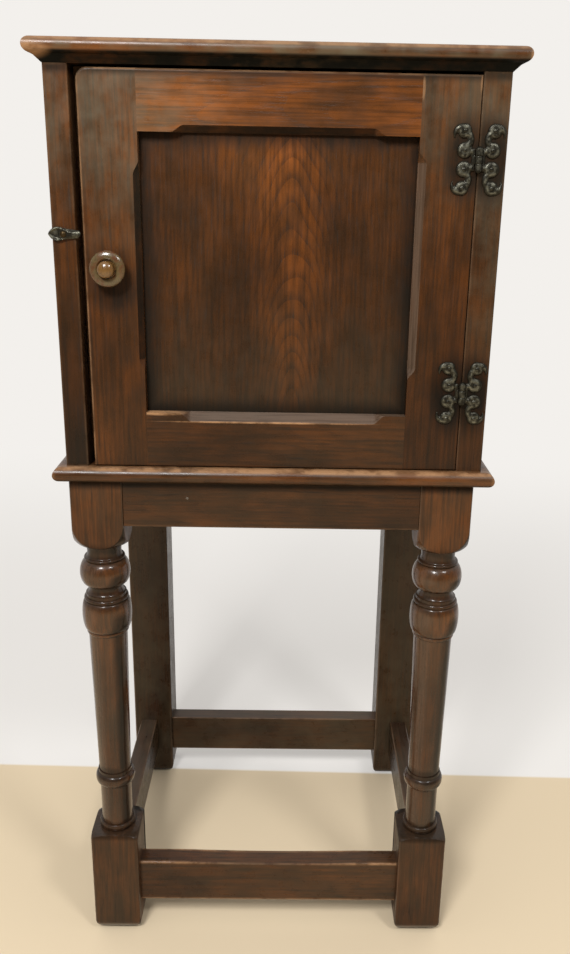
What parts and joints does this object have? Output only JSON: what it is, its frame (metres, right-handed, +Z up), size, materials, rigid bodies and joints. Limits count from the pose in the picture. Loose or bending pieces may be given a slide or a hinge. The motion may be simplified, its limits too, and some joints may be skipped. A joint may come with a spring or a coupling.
{
  "type": "bedside pot cupboard",
  "caption": "Small oak cupboard with a panelled, face-hinged door and a turn catch, on a stand with turned front legs and box stretchers.",
  "frame": {"origin": "on the floor, at the middle of the space that the cupboard takes up", "axes": "+Z up, the door faces -Y, +X to the right of someone who faces the door"},
  "size_m": [0.358, 0.3046, 0.7855],
  "materials": {
    "oak": "dark stained and wax polished oak",
    "oak_inside": "dark oak, planed and unpolished",
    "knob_wood": "turned oak, worn paler by hands",
    "iron": "dark bronzed iron, rubbed at its edges"
  },
  "bodies": {
    "cupboard": {"front_leg_left": "oak", "front_leg_right": "oak", "rear_leg_left": "oak", "rear_leg_right": "oak", "front_rail": "oak", "rear_rail": "oak", "left_rail": "oak", "right_rail": "oak", "front_stretcher": "oak", "rear_stretcher": "oak", "left_stretcher": "oak", "right_stretcher": "oak", "waist_board": "oak", "left_side": "oak", "right_side": "oak", "back_board": "oak_inside", "top_board": "oak", "door_stop": "oak_inside", "hinge_case_upper": "iron", "hinge_case_lower": "iron", "hinge_pins": "iron", "hinge_nails_case": "iron", "catch_pin": "iron"},
    "door": {"door_stile_left": "oak", "door_stile_right": "oak", "door_rail_top": "oak", "door_rail_bottom": "oak", "door_panel": "oak", "knob": "knob_wood", "hinge_door_upper": "iron", "hinge_door_lower": "iron", "hinge_nails_door": "iron"},
    "turn_catch": {"turn_catch": "iron"}
  },
  "joints": [
    {"name": "door_swing", "type": "hinge", "parent": "cupboard", "child": "door", "pos_m": [0.1472, -0.13465, 0.61835], "axis": [0, 0, 1], "range_deg": [0, 170]},
    {"name": "catch_turn", "type": "hinge", "parent": "cupboard", "child": "turn_catch", "pos_m": [-0.159, -0.13355, 0.651], "axis": [0, 1, 0], "range_deg": [-90, 90]}
  ]
}
